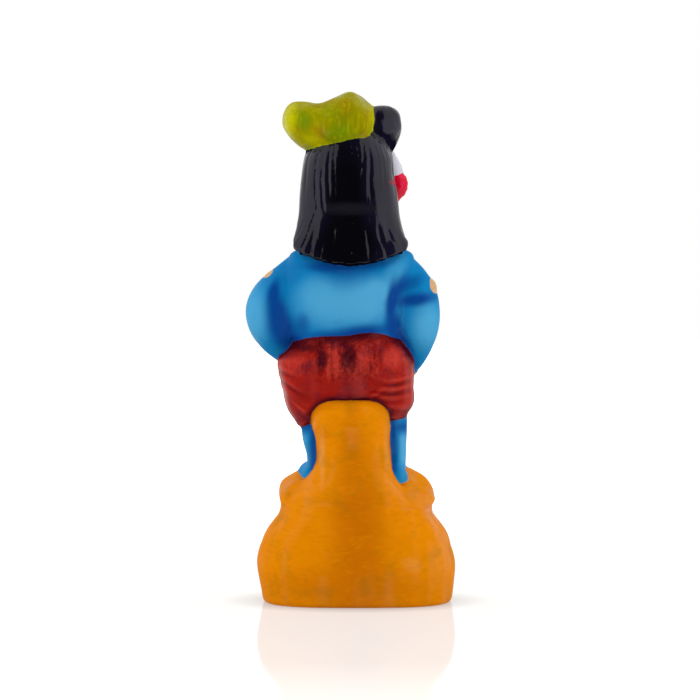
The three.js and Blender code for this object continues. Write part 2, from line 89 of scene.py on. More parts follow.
def between(keys):
    """The values between keys, each (place, value, ...), on smooth curves that never overshoot."""
    table = np.array(keys, float)
    places, values = table[:, 0], table[:, 1:]
    slopes = np.diff(values, axis=0) / np.diff(places)[:, None]
    before, after = slopes[:-1], slopes[1:]
    product = before * after
    total = np.where(product > 0, before + after, 1)
    inner = np.where(product > 0, 2 * product / total, 0)
    tangents = np.vstack([slopes[:1], inner, slopes[-1:]])

    def at(place):
        place = np.clip(np.asarray(place, float), places[0], places[-1])
        i = np.clip(np.searchsorted(places, place, side="left") - 1, 0, len(places) - 2)
        span = (places[i + 1] - places[i])[..., None]
        t = (place[..., None] - places[i][..., None]) / span
        return (values[i] * (1 + 2 * t) * (1 - t) ** 2 + values[i + 1] * t * t * (3 - 2 * t)
                + span * t * (1 - t) * (tangents[i] * (1 - t) - tangents[i + 1] * t))

    return at


# Forms


def outline(angle, half_width, half_depth, square=2):
    """A rounded outline: square is 2 for an ellipse, and more for fuller corners."""
    across, deep = np.cos(angle), np.sin(angle)
    power = 2 / square
    return (half_width * np.sign(across) * np.abs(across) ** power,
            half_depth * np.sign(deep) * np.abs(deep) ** power)


def draw_out(rings):
    """A closed form: a disc is extruded from ring to ring, and each ring's corners are set in place."""
    bpy.ops.object.select_all(action="DESELECT")
    bpy.ops.mesh.primitive_circle_add(vertices=len(rings[0]), fill_type="NGON")
    form = bpy.context.object
    bpy.ops.object.mode_set(mode="EDIT")
    bpy.ops.mesh.select_all(action="SELECT")
    for step, ring in enumerate(rings):
        shape = bmesh.from_edit_mesh(form.data)
        if step == 0:
            place = shape.verts.layers.int.new("place")
            for i, corner in enumerate(shape.verts):
                corner[place] = i
        else:
            bpy.ops.mesh.extrude_region_move()
            shape = bmesh.from_edit_mesh(form.data)
            place = shape.verts.layers.int["place"]
        for corner in shape.verts:
            if corner.select:
                corner.co = ring[corner[place]] * MM
        bmesh.update_edit_mesh(form.data)
    bpy.ops.mesh.select_all(action="SELECT")
    bpy.ops.mesh.normals_make_consistent(inside=False)
    bpy.ops.object.mode_set(mode="OBJECT")
    return form


def round_off(form, levels=1):
    """Rounds a form off with a subdivision surface."""
    form.modifiers.new("round", "SUBSURF").levels = levels
    bpy.ops.object.select_all(action="DESELECT")
    form.select_set(True)
    bpy.context.view_layer.objects.active = form
    bpy.ops.object.modifier_apply(modifier="round")
    return form


def pile(keys, around=48, rows=24, foot=1, top=1, square=2.2, bump=None, move=None):
    """A form piled up from level outlines. Its keys are (z, left, right, front, back)."""
    level = between(keys)
    low, high = keys[0][0], keys[-1][0]
    steps = 4
    turns = np.arange(steps) / steps * math.pi / 2
    levels = [(low + foot * (1 - math.cos(turn)), foot * (1 - math.sin(turn))) for turn in turns]
    levels += [(low + foot + (high - top - low - foot) * row / rows, 0) for row in range(rows + 1)]
    levels += [(high - top * (1 - math.cos(turn)), top * (1 - math.sin(turn))) for turn in turns[::-1]]
    angle = np.arange(around) / around * 2 * math.pi
    rings = []
    for z, inset in levels:
        left, right, front, back = level(z)
        out = (bump(angle, z) if bump else 0) - inset
        x, y = outline(angle, (left - right) / 2 + out, (back - front) / 2 + out, square)
        ring = np.stack([(left + right) / 2 + x, (front + back) / 2 + y, np.full(around, z)], 1)
        rings.append(move(ring) if move else ring)
    return round_off(draw_out(rings))


def along(stations, share):
    """The point, the direction, the half width and the half thickness at a share of a bent line."""
    line = between([(i / (len(stations) - 1), *station) for i, station in enumerate(stations)])
    step = 0.001
    ahead = line(share + step)[:3] - line(share - step)[:3]
    found = line(share)
    return found[:3], ahead / np.linalg.norm(ahead), found[3], found[4]


def limb(stations, around=24, rows=16, side=(0, 1, 0), dome=3, bump=None):
    """A round form along a bent line. Its stations are (x, y, z, half width, half thickness)."""
    turns = np.arange(1, dome + 1) / (dome + 1) * math.pi / 2
    places = [(0, -math.cos(turn), math.sin(turn)) for turn in turns]
    places += [(row / rows, 0, 1) for row in range(rows + 1)]
    places += [(1, math.cos(turn), math.sin(turn)) for turn in turns[::-1]]
    angle = np.arange(around) / around * 2 * math.pi
    rings = []
    for share, ahead, scale in places:
        point, tangent, half_width, half_thickness = along(stations, share)
        width = np.array(side) - tangent * tangent.dot(side)
        width /= np.linalg.norm(width)
        thickness = np.cross(tangent, width)
        out = bump(angle, share) if bump else 0
        a, b = outline(angle, (half_width + out) * scale, (half_thickness + out) * scale)
        middle = point + tangent * ahead * half_thickness
        rings.append(middle + np.outer(a, width) + np.outer(b, thickness))
    return round_off(draw_out(rings))


def egg(place, half_sizes, turn=(0, 0, 0), segments=24):
    """A ball drawn out to three half sizes, and turned about x, y and z in degrees."""
    bpy.ops.object.select_all(action="DESELECT")
    bpy.ops.mesh.primitive_uv_sphere_add(
        segments=segments, ring_count=segments // 2, radius=MM,
        location=np.array(place) * MM, rotation=np.radians(turn), scale=half_sizes)
    bpy.ops.object.transform_apply()
    return bpy.context.object


def hoop(stations, share, thickness):
    """A closed ring that follows a limb at one place."""
    point, tangent, half_width, half_thickness = along(stations, share)
    bpy.ops.object.select_all(action="DESELECT")
    bpy.ops.mesh.primitive_torus_add(
        major_radius=(half_width + half_thickness) / 2 * MM, minor_radius=thickness * MM,
        major_segments=36, minor_segments=12, location=point * MM,
        rotation=Vector(tangent).to_track_quat("Z", "Y").to_euler())
    bpy.ops.object.transform_apply()
    return bpy.context.object


def mound():
    """The mound: its ledge falls away behind the heels, and swells out below the left foot."""
    half_widths = [
        (0, 36.9), (5, 37.5), (9, 38.2), (14, MOUND_HALF_WIDTH), (22, 37.3), (27, 35.2), (31, 32.6),
        (34, 30.2), (GROOVE_Z, 28.7), (39, 29.6), (42.5, 30), (46, 28.6), (49, 25.4), (LEDGE_Z + 2, 20),
    ]
    fill = between([
        (18, 0), (27, 1.1), (31, 2.3), (34, 3.4), (GROOVE_Z, 3.9), (39, 2.7), (42.5, 1.7), (46, 2.4),
        (49, 4), (LEDGE_Z + 2, 6),
    ])
    depth_share = MOUND_HALF_DEPTH / MOUND_HALF_WIDTH

    def settle(ring):
        x, y, z = ring.T
        high = ease(z, GROOVE_Z, LEDGE_Z)
        left = 1.7 * ridge(z, 48, 3) * ease(x, 4, 20)
        right = 1.2 * ridge(z, 41, 2.8) * ease(-x, 4, 20)
        heel = 1.3 * ease(-x, 6, 13)
        fall = (2.8 + heel) * ease(y, -3, 4) + 7 * ease(y, 3, 20)
        lean = left - right - 0.6 * (1 - ease(z, 4, 18))
        ring[:, 2] -= high * (0.015 * x + fall)
        ring[:, 0] += lean
        return ring

    return pile(
        [(z, half, -half, -half * depth_share, half * depth_share) for z, half in half_widths],
        around=64, rows=28, foot=1.8, top=1.5, square=2.9,
        bump=lambda angle, z: fill(z)[0] * ease(np.sin(angle), 0.45, 0.9), move=settle)


def prop():
    """The prop that stands up behind the legs, under the dhoti."""
    head = HEM_Z + 9
    return pile([
        (32, 24, -20, -8, 25.4),
        (41, 24.8, -20.8, -8, 27.4),
        (LEDGE_Z - 3, 20.4, -16.2, -8, 26),
        (LEDGE_Z + 1.5, 16.6, -13.9, -8, 24.4),
        (56, 14.9, -13.2, -8, 23.6),
        (64, 15.1, -12.9, -8, 23.8),
        (HEM_Z, 17.1, -12.9, -8, PROP_BACK_Y),
        (head, 16.8, -12.8, -8, PROP_BACK_Y),
    ], around=40, rows=20, top=7, square=2.7)


def leg(side):
    """A leg, from under the dhoti down to the ledge."""
    out = 0 if side > 0 else -0.6
    return limb([
        (side * LEG_X + 0.8, 0, HEM_Z + 4, 7, 6.8),
        (side * LEG_X + 0.4, 0.4, 64, 6.5, 6.6),
        (side * LEG_X + out, 1, 57, 5.2, 5.3),
        (side * LEG_X + out, 1.6, LEDGE_Z + 1, 4.9, 5),
    ], side=(1, 0, 0))


def foot(side):
    """A foot with five toes, sunk in the ledge. The right heel sinks lower than the left one."""
    toe_x = 15.6 if side > 0 else -15.4
    sole = LEDGE_Z if side > 0 else LEDGE_Z - 0.4
    heel = (15.8, 4.2, sole - 0.2, 5, 3.6) if side > 0 else (-14.9, 5.8, sole - 0.8, 5.4, 4.4)
    instep = (16.4, -4, sole, 6.2, 4.8) if side > 0 else (-14.2, -4, sole, 5.2, 5.2)
    lean = toe_x - side * LEG_X
    forms = [limb([
        heel,
        instep,
        (side * LEG_X + 0.6 * lean, -12, sole, 6, 3.7),
        (toe_x, -17.6, sole, 6.2, 2.8),
    ], side=(1, 0, 0))]
    toes = 5
    for toe in range(toes):
        across = (toe / (toes - 1) - 0.5) * 10.6
        size = 1.9 if toe == 0 else 1.45
        forms.append(egg((toe_x + side * across, -22.6 + 0.32 * toe * toe, sole - 0.4), (size, 3, size)))
    return forms


def dhoti():
    """The draped dhoti, gathered at the waist behind, with an uneven hem."""
    gathers = (12.5, 7.6, 3.2, -6.5)

    def bump(angle, z):
        x = BODY_X + 25.5 * np.cos(angle)
        behind = ease(np.sin(angle), 0.05, 0.35)
        below = ease(z, 87, 93) * (1 - ease(z, 100, WAIST_Z))
        return 0.5 * behind * below * sum(ridge(x, place, 1.5) for place in gathers)

    def wave(ring):
        low = 1 - ease(ring[:, 2], HEM_Z, HEM_Z + 10)
        hem = 2.4 - 3.4 * ease(ring[:, 0], 15, 23)
        high = ease(ring[:, 2], 98, WAIST_Z)
        ring[:, 2] += low * hem - high * 0.8 * np.sin((ring[:, 0] + 1) * 0.23)
        return ring

    return pile([
        (HEM_Z - 1, 22.2, -19.6, -11.5, 12),
        (HEM_Z + 2, 23.9, -20.8, -12.6, 13.2),
        (75, 26.2, -22, -13.6, 15),
        (79, 27.7, -22.7, -14.4, 16.3),
        (84, 28.6, -22.4, -14.9, 17.2),
        (89, 29.8, -22.6, -15.2, 17.4),
        (94, 30.4, -22.4, -15, 16.6),
        (98, 26.8, -21, -14.6, 15.2),
        (101.5, 24.4, -19, -14, 13.8),
        (WAIST_Z + 1, 20.5, -15.5, -12.6, 12),
    ], around=96, rows=36, foot=0.8, square=2.15, bump=bump, move=wave)


def pleats():
    """The pleated cloth that hangs in front."""
    folds = 5

    def bump(angle, _z):
        front = ease(-np.sin(angle), 0.1, 0.5)
        return 0.8 * front * np.cos(folds * math.pi * np.cos(angle))

    return pile([
        (56, BODY_X + 8, BODY_X - 8, -17.6, -6),
        (68, BODY_X + 6.6, BODY_X - 6.6, -18, -6),
        (84, BODY_X + 5, BODY_X - 5, -17.8, -6),
        (WAIST_Z - 1, BODY_X + 3.6, BODY_X - 3.6, -15.6, -6),
    ], around=96, rows=20, foot=0.6, top=1.4, square=3.4, bump=bump)


TORSO = [
    (96, 24, -17.6, -12.4, 11.4),
    (103, 25.4, -18.4, -13, 11.8),
    (109, 27.4, -18, -13, 12.4),
    (116, 29, -19, -13.6, 13.4),
    (123, 28.6, -20.6, -13.4, 14.4),
    (SHOULDER_Z, 26.2, -21.8, -11, 15.6),
    (SHOULDER_Z + 4, 26.2, -22.8, -8.4, 15.4),
    (SHOULDER_Z + 8, 25.6, -22.2, -7.4, 13),
    (SHOULDER_Z + 10, 16, -13, -7.2, 10),
    (SHOULDER_Z + 12, 12.2, -7, -7.6, 7.4),
    (CHIN_Z + 5, 11, -5.8, -9, 6),
]
TORSO_SQUARE = 2.3

ARM_STATIONS = {
    1: [
        (20, -0.4, SHOULDER_Z, 7.6, 8.2), (26.4, 0.4, 123.6, 7.8, 8.4), (32.8, 1.6, 118, 7.8, 8.6),
        (34.6, 2, 112, 7.8, 8.8), (31.4, 0.2, 104.6, 7.2, 8.1), (28, -3.4, 99, 5.8, 6.2),
        (25, -8.6, 95, 4.4, 4.4),
    ],
    -1: [
        (-14.6, -0.4, SHOULDER_Z + 0.6, 7.6, 8.4), (-20.6, 0.6, 124.4, 7.8, 8.2),
        (-24.2, 1.8, 117, 7.8, 8.4), (-24.4, 1.4, 110, 7.8, 8.6), (-22.6, -1.6, 102, 7.2, 8.2),
        (-21.4, -5.6, 95, 5.6, 6), (-19.4, -9.8, 90.4, 4.3, 4.1),
    ],
}


def hand(side):
    """A hand laid on the hip: palm, thumb and four fingers."""
    wrist = np.array(ARM_STATIONS[side][-1][:3])

    def at(inward, ahead, up, half_width, half_thickness):
        return (*(wrist + (-side * inward, -ahead, up)), half_width, half_thickness)

    forms = [
        limb([at(0, 0, 0, 3, 4.2), at(3.4, 4.2, -1.4, 2.6, 5), at(7, 6.6, -2, 2.2, 4.6)]),
        limb([at(2.6, 4.4, 1.6, 1.6, 1.6), at(6.6, 5.6, 5, 1.2, 1.2)], around=16),
    ]
    fingers = 4
    for finger in range(fingers):
        drop = (finger - (fingers - 1) / 2) * 2.35
        reach = 6 - 0.5 * (finger - 1.2) ** 2
        forms.append(limb([
            at(7, 7.2, -1.8 - drop, 1.35, 1.35), at(7 + reach, 8.1, -2.5 - drop * 0.92, 1.1, 1.1),
        ], around=16))
    return forms


def head():
    """The head, from the chin up to under the cap."""
    keys = [
        # z, share of the half width, front, back
        (CHIN_Z, 0.26, FACE_Y + 2.4, -9),
        (CHIN_Z + 2, 0.44, FACE_Y + 0.7, -5),
        (CHIN_Z + 6, 0.7, FACE_Y + 0.2, 4),
        (NOSE_Z + 1, 0.89, FACE_Y - 0.1, 10),
        (EYE_Z, 0.98, FACE_Y + 0.7, 13),
        (BROW_Z + 3, 1, FACE_Y + 0.2, 14),
        (HAIRLINE_Z, 0.94, FACE_Y + 1.6, 13),
        (HAIRLINE_Z + 5, 0.78, FACE_Y + 5.4, 11),
        (HAIRLINE_Z + 9, 0.4, FACE_Y + 11, 6),
    ]
    return pile([
        (z, BODY_X + HEAD_HALF_WIDTH * share, BODY_X - HEAD_HALF_WIDTH * share, front, back)
        for z, share, front, back in keys
    ], around=56, rows=28, foot=1.4, top=2, square=2.15)


def features():
    """The nose, lips and chin, then on each side a nostril, an eye, a cheek and an ear."""
    forms = [
        limb([
            (BODY_X, FACE_Y + 1, BROW_Z - 1, 1.1, 1.2),
            (BODY_X, FACE_Y - 0.7, (BROW_Z + NOSE_Z) / 2, 1.3, 1.5),
            (BODY_X, FACE_Y - 1.9, NOSE_Z + 1.4, 1.9, 1.7),
        ], side=(1, 0, 0), around=16),
        egg((BODY_X, FACE_Y + 0.1, MOUTH_Z + 0.75), (3, 1.2, 0.85)),
        egg((BODY_X, FACE_Y + 0.2, MOUTH_Z - 0.75), (2.5, 1.3, 0.95)),
        egg((BODY_X, FACE_Y + 2, CHIN_Z + 2.7), (3.2, 2.6, 2.4)),
    ]
    for side in SIDES:
        forms += [
            egg((BODY_X + side * 1.9, FACE_Y - 0.5, NOSE_Z + 1), (1.1, 1.3, 1.1)),
            egg((BODY_X + side * 6, FACE_Y + 2.4, EYE_Z), (3.2, 1.5, 1.75), (0, 0, side * 12)),
            egg((BODY_X + side * 6.8, FACE_Y + 5, NOSE_Z + 0.8), (5, 3.5, 5.2)),
            egg((BODY_X + side * 15, -4.6, EYE_Z - 1.6), (1.6, 2.6, 4.6), (12, 0, 0)),
        ]
    return forms


def hair():
    """The long hair, which bends in above the nape and ends in a shallow curve."""
    def dip(ring):
        share = (ring[:, 0] - 2) / 22
        ring[:, 2] += 6.4 * share * share * (1 - ease(ring[:, 2], 131, 145))
        return ring

    return pile([
        (131, 24.2, -20.2, 7, 18.8),
        (135, 24.6, -20.5, 5.4, 18.8),
        (140, 24.2, -19.8, 3, 18.6),
        (146, 23, -18, 0.4, 18.2),
        (152, 22.1, -16.8, -2, 17.7),
        (158, 21.9, -16.4, -4.6, 18.3),
        (166, 21.2, -15, -7, 18.1),
        (172, 20.3, -14.6, -9, 17.3),
        (177, 18.6, -13.2, -13.6, 15.8),
        (182, 15.6, -10.4, -15.4, 13.2),
        (187.5, 8, -3, -8, 8),
    ], around=72, rows=30, foot=0.8, top=1.5, square=2.08, move=dip)


def hair_knot():
    """The knot of hair beside the cap's right end."""
    return limb([
        (-8.6, 2.4, 178.6, 7.4, 5), (-10.4, 2.4, 184.6, 8, 5.6), (-10.4, 2.4, 188.4, 7.8, 5),
    ], side=(0.87, 0.5, 0), around=48, rows=14, dome=6)


def cap():
    """The soft cap, from its right end across to the lobe that hangs on the left."""
    across = between([
        # x, top, bottom, half depth
        (CAP_RIGHT_X, 190.8, 187.4, 4.6),
        (-6.4, 193.2, 183.4, 9.4),
        (-5.4, 193.9, 180, 12),
        (-4.4, 194.6, 177.6, 13.8),
        (-1.6, 197.2, 176.2, 15.8),
        (1.6, CROWN_Z + 0.3, 175.6, 16.8),
        (8, 196.2, 175.4, 17.4),
        (14.2, 194.2, 175.6, 16.8),
        (19.6, 194.6, 176, 14.4),
        (24, 194.6, 179, 11),
        (26.9, 192.8, 182.4, 7.4),
        (CAP_LEFT_X, 189.6, 185.6, 3),
    ])
    around, rows = 56, 40
    angle = np.arange(around) / around * 2 * math.pi
    rings = []
    for row in range(rows + 1):
        share = (1 - math.cos(math.pi * row / rows)) / 2
        x = CAP_RIGHT_X + share * (CAP_LEFT_X - CAP_RIGHT_X)
        top, bottom, half_depth = across(x)
        fold = 0.5 * np.sin(0.42 * x + 3 * angle) * ease(-np.cos(angle), -0.2, 0.6)
        y, z = outline(angle, half_depth + fold, (top - bottom) / 2, 2.3)
        rings.append(np.stack([np.full(around, x), -y, (top + bottom) / 2 + z], 1))
    return round_off(draw_out(rings))


def tassel(stations):
    """One colour's length of the flower tassel."""
    return limb(stations, rows=12, dome=4)


def armlet(side):
    """An armlet, as far as it stands out of the upper arm."""
    if side > 0:
        return egg((32.6, -0.4, 126.1), (4.1, 5.6, 2.4), (6, 45, -16))
    return egg((-29, 1.8, 121.6), (2.7, 4.6, 4.5))


def front_of_torso(x, z):
    """How far forward the torso comes at a place."""
    left, right, front, back = between(TORSO)(z)
    share = min(abs(x - (left + right) / 2) / ((left - right) / 2), 1)
    return (front + back) / 2 - (back - front) / 2 * (1 - share ** TORSO_SQUARE) ** (1 / TORSO_SQUARE)


def necklace():
    """A string of beads that lies on the chest."""
    beads = 25
    forms = []
    for bead in range(beads):
        swing = (bead / (beads - 1) - 0.5) * 0.94 * math.pi
        x = BODY_X + 9.4 * math.sin(swing)
        z = SHOULDER_Z + 7 - 13 * math.cos(swing)
        forms.append(egg((x, front_of_torso(x, z), z), (1.1, 1.3, 1.1), segments=12))
    return forms


FORMS = {
    "ochre": [mound(), prop()],
    "dhoti": [dhoti(), pleats()],
    "skin": [pile(TORSO, square=TORSO_SQUARE), head(), *features()],
    "hair": [hair(), hair_knot()],
    "cap": [cap()],
    "white": [tassel([
        (-11.8, -6.4, 176.4, 2.4, 2.2), (-13.2, -7, 172.5, 3.2, 3), (-14.6, -7.4, 167.8, 4.3, 4)])],
    "red": [tassel([
        (-16.1, -7.4, 163.2, 4.5, 4.4), (-16.2, -7.4, 161.2, 4.3, 4.2), (-14.8, -7, 157.4, 2.7, 2.7)])],
    "gold": necklace(),
}
for side in SIDES:
    FORMS["skin"] += [leg(side), *foot(side), limb(ARM_STATIONS[side]), *hand(side)]
    FORMS["gold"] += [armlet(side), hoop(ARM_STATIONS[side], 0.97, 0.8)]


# The forms become one moulded solid, and each keeps a search tree for its paint


def search_tree(forms):
    """A tree that finds the nearest place on any of the forms."""
    corners, faces = [], []
    for form in forms:
        start = len(corners)
        corners += [vertex.co.copy() for vertex in form.data.vertices]
        faces += [[start + i for i in face.vertices] for face in form.data.polygons]
    return BVHTree.FromPolygons(corners, faces)


TREES = {paint: search_tree(forms) for paint, forms in FORMS.items()}


def mould():
    """Joins all the forms into one closed skin, softened where they meet as pressed clay is."""
    bpy.ops.object.select_all(action="DESELECT")
    forms = [form for group in FORMS.values() for form in group]
    for form in forms:
        form.select_set(True)
    bpy.context.view_layer.objects.active = forms[0]
    bpy.ops.object.join()
    figurine = bpy.context.object
    figurine.name = figurine.data.name = "painted_figurine"
    remesh = figurine.modifiers.new("clay", "REMESH")
    remesh.mode = "VOXEL"
    remesh.voxel_size = VOXEL * MM
    bpy.ops.object.modifier_apply(modifier="clay")
    soften = figurine.modifiers.new("soften", "SMOOTH")
    soften.factor = 0.5
    soften.iterations = 4
    bpy.ops.object.modifier_apply(modifier="soften")
    return figurine


figurine = mould()


# The carving that is finer than the solid's


def read_points(piece):
    """The piece's corners and normals, the corners in millimetres."""
    count = len(piece.data.vertices)
    corners, normals = np.empty(count * 3, np.float32), np.empty(count * 3, np.float32)
    piece.data.vertices.foreach_get("co", corners)
    piece.data.vertices.foreach_get("normal", normals)
    return corners.reshape(-1, 3).astype(float) / MM, normals.reshape(-1, 3).astype(float)


def write_points(piece, corners):
    """Moves the piece's corners to places given in millimetres."""
    piece.data.vertices.foreach_set("co", (corners * MM).astype(np.float32).ravel())
    piece.data.update()


def paint_edges(points):
    """How far inside each paint's area a point lies, in millimetres: 0 where two paints meet."""
    reach = 8
    gaps = {}
    for paint, tree in TREES.items():
        found = (tree.find_nearest(Vector(point * MM), reach * MM)[3] for point in points)
        gaps[paint] = np.array([reach if gap is None else gap / MM for gap in found])
    edges = {}
    for paint, gap in gaps.items():
        others = np.min([other for name, other in gaps.items() if name != paint], axis=0)
        edges[paint] = others - gap
    return edges


def hair_locks(x, y, z):
    """Combed locks: broad waves with tapered grooves between them, over the nape and under the cap."""
    across = (np.arctan2(y - 3, x - 2) - math.pi / 2) * 20
    nape = 1 - ease(z, 143, 156)
    depth = 0.06 * np.cos(across * 2 * math.pi / 6.4 + 0.6 * np.sin(0.11 * z))
    depth += 0.08 * nape * np.cos(across * 2 * math.pi / 3.7 + 1.1 * np.sin(0.2 * z))
    draws = np.random.default_rng(11)
    grooves = 26
    for low, high, fan in ((131.5, 149, 0.012), (158, 180.5, -0.006)):
        for place in np.linspace(-40, 40, grooves) + draws.uniform(-1.2, 1.2, grooves):
            middle = draws.uniform(low + 5, high - 5)
            half_length = draws.uniform(0.45, 0.75) * (high - low)
            width = draws.uniform(0.4, 0.65)
            strength = draws.uniform(0.1, 0.55)
            bend = draws.uniform(-0.35, 0.35)
            run = place * (1 + fan * (middle - z)) + bend * np.sin(0.3 * (z - middle))
            taper = np.clip(1 - ((z - middle) / half_length) ** 2, 0, 1) ** 0.8
            depth -= strength * taper * ridge(across, run, width)
    return depth


def knot_strands(x, y, z):
    """Strands that wind round the hair knot."""
    turn = np.arctan2(y - 1.4, x + 10.6)
    return 0.07 * np.cos(7 * turn + 0.55 * (z - 179))


# The swags that hang on each hip: x of the middle, z there, half length, slope and height
SWAGS = [
    (27.5, 91, 5, 0.5, 0.2), (26, 86, 6, 0.75, 0.26), (25, 81.5, 6, 0.9, 0.2), (22.5, 77.5, 6, 0.9, 0.28),
    (20, 74, 5, 0.8, 0.2), (-15.5, 87, 6, -0.1, 0.26), (-14.5, 83.4, 6.5, -0.05, 0.32),
    (-13, 80, 6, 0.1, 0.2), (-16, 76.5, 5, 0.05, 0.16), (-7, 81.5, 4, -0.5, 0.16),
]


def dhoti_folds(x, y, z):
    """Gathers pulled in at the waist behind, faint swags on each hip, and the mould's seam."""
    depth = np.zeros_like(x)
    top = ease(y, 4, 10) * ease(z, 84, 93) * (1 - ease(z, 101.5, 104))
    for place, width, height in (
            (13.4, 1.7, -0.5), (10.4, 0.9, 0.35), (9.1, 0.4, -0.2), (7.6, 0.9, 0.35), (4.2, 1.4, -0.45),
            (-0.4, 1.8, 0.3), (-5.3, 0.45, -0.2), (-8.4, 1.4, 0.3), (-12.4, 1.7, -0.35)):
        run = place + 0.3 * np.sin(0.45 * z + place)
        depth += height * top * ridge(x, run, width)
    for middle, height, half_length, slope, rise in SWAGS:
        along = x - middle
        run = height + slope * along + 0.03 * along ** 2
        fold = rise * (ridge(z, run, 1.1) - 0.7 * ridge(z, run - 1.9, 0.7))
        depth += fold * ridge(along, 0, half_length)
    return depth + 0.3 * ridge(y, SEAM_Y, 0.5) * ease(np.abs(x), 12, 18)


def tassel_buds(x, y, z):
    """Rows of small flower buds, half filled with paint."""
    turn = np.arctan2(y + 7.2, x + 15)
    return 0.1 * np.cos(6 * turn) * np.cos(2.7 * z)


def lumps(x, y, z):
    """The slow unevenness of clay pressed by hand."""
    patches = np.sin(0.31 * x + 0.2 * z + 1) * np.sin(0.27 * z - 0.2 * y)
    waves = np.sin(0.17 * x - 0.35 * z + 0.3 * y)
    return 0.16 * (patches + waves)


def cap_creases(x, y, z):
    """Soft creases that run from the cap's crown into its hanging lobe."""
    return 0.2 * np.sin(0.5 * x + 0.34 * z + 0.2 * y) * ease(z, 180, 186)


def hollows(piece, corners, normals, rounds):
    """How far each corner lies below the smoothed surface round it, in millimetres."""
    count = len(corners)
    ends = np.empty(len(piece.data.edges) * 2, np.int32)
    piece.data.edges.foreach_get("vertices", ends)
    a, b = ends.reshape(-1, 2).T
    neighbours = np.bincount(np.concatenate([a, b]), minlength=count)[:, None]
    smooth = corners.copy()
    for _ in range(rounds):
        total = np.stack([
            np.bincount(a, smooth[b, k], count) + np.bincount(b, smooth[a, k], count)
            for k in range(3)], 1)
        smooth = 0.5 * smooth + 0.5 * total / neighbours
    return ((smooth - corners) * normals).sum(1)


def fill_creases(piece):
    """Fills the creases between forms of one paint, as wet clay is smoothed where limbs meet."""
    corners, normals = read_points(piece)
    edges = paint_edges(corners)
    z = corners[:, 2]
    arms = ease(edges["skin"], 0.5, 3) * ease(z, 94, 102) * (1 - ease(z, 136, 142))
    base = ease(edges["ochre"], 0.5, 3) * ease(z, 28, 36)
    fill = np.clip(hollows(piece, corners, normals, 60), 0, None)
    write_points(piece, corners + normals * (fill * np.maximum(arms, base))[:, None])


def carve(piece):
    """Carves each paint's area in its own way, fading out where two paints meet."""
    corners, normals = read_points(piece)
    x, y, z = corners.T
    edges = paint_edges(corners)
    depth = np.zeros(len(corners))
    on_knot = ease(z, 181, 184)
    depth += ease(edges["hair"], 0, 1.6) * (1 - on_knot) * hair_locks(x, y, z)
    depth += ease(edges["hair"], 0, 1) * on_knot * knot_strands(x, y, z)
    depth += ease(edges["dhoti"], 0.2, 1.6) * dhoti_folds(x, y, z)
    depth += ease(edges["cap"], 0, 2) * cap_creases(x, y, z)
    depth += ease(edges["ochre"], 0, 3) * ease(z, 3, 12) * lumps(x, y, z)
    depth += ease(np.maximum(edges["white"], edges["red"]), 0, 0.8) * tassel_buds(x, y, z)
    write_points(piece, corners + normals * depth[:, None])


def airbrush_and_painted_light(points, passes):
    """What all passes leave: the doll's own airbrushing, and painted shade and painted highlights laid on as
    the same soft patches. A pass is (x, z, half width, half height, turn, strength), with the turn in
    degrees."""
    bare = np.ones(len(points))
    for x, z, half_width, half_height, turn, strength in passes:
        cos, sin = math.cos(math.radians(turn)), math.sin(math.radians(turn))
        dx, dz = points[:, 0] - x, points[:, 2] - z
        reach = ((dx * cos + dz * sin) / half_width) ** 2 + ((dz * cos - dx * sin) / half_height) ** 2
        bare *= 1 - strength * np.exp(-0.7 * reach ** 1.5)
    return 1 - bare


DEEP_PASSES = [
    # The creases between the arms and the back: airbrushed blue deepened by painted shade
    (31.8, 121, 2, 4.6, 12, 1), (30.4, 113, 3.6, 7.5, -8, 1), (28.2, 106, 4.8, 6.5, -24, 1),
    (24, 101.6, 6, 3.2, 10, 0.95), (20.5, 108.4, 2.6, 4, 0, 0.6), (26, 128.5, 4.5, 5, 0, 0.25),
    (-13.8, 117, 1.9, 8, 6, 1), (-14.8, 107, 3, 6, 0, 0.95), (-19.3, 100, 9, 2.2, 66, 0.95),
    # Below the hair, above the waist and round the right arm: airbrushed blue with painted shade under the
    # hair and in the creases
    (12, 130.6, 8, 1.7, 4, 0.75), (-8, 131.6, 7, 1.5, -14, 0.5), (-1.8, 105, 11, 2.9, -7, 1),
    (12, 103.4, 8, 2.6, 0, 0.7), (-16.8, 122.4, 6, 2.2, -62, 0.9), (-23, 118, 8, 2.4, -8, 1),
    (-22, 124.5, 4.6, 2.4, -30, 0.6),
    # Painted shade in the hollows of the dhoti's gathers, and on its lower sides
    (13, 95.5, 2.6, 4.5, 0, 1), (2.5, 96, 3.4, 5.5, 0, 1), (19, 99.4, 4.5, 1.6, 0, 0.9),
    (-9.6, 97, 1.5, 4, 0, 0.7), (21.6, 81.5, 7, 5, 0, 0.5), (-14, 81.5, 7, 5, 0, 0.5),
    # The middle of the hair, painted black as a dark painted reflection; painted shade down the mound's back,
    # along its foot and down the prop; and the cap's green patches
    (3.6, 158, 7.6, 24, 0, 1), (4, 139, 13, 10, 0, 1), (-1, 28, 10, 30, 0, 1), (0, 8, 28, 8, 0, 0.7),
    (1.4, 60, 3.6, 20, 0, 0.5), (21, 187.6, 4, 3.6, 0, 0.9), (6.5, 183, 5, 3, -20, 0.8),
    (9, 190, 6, 3, 20, 0.5),
]
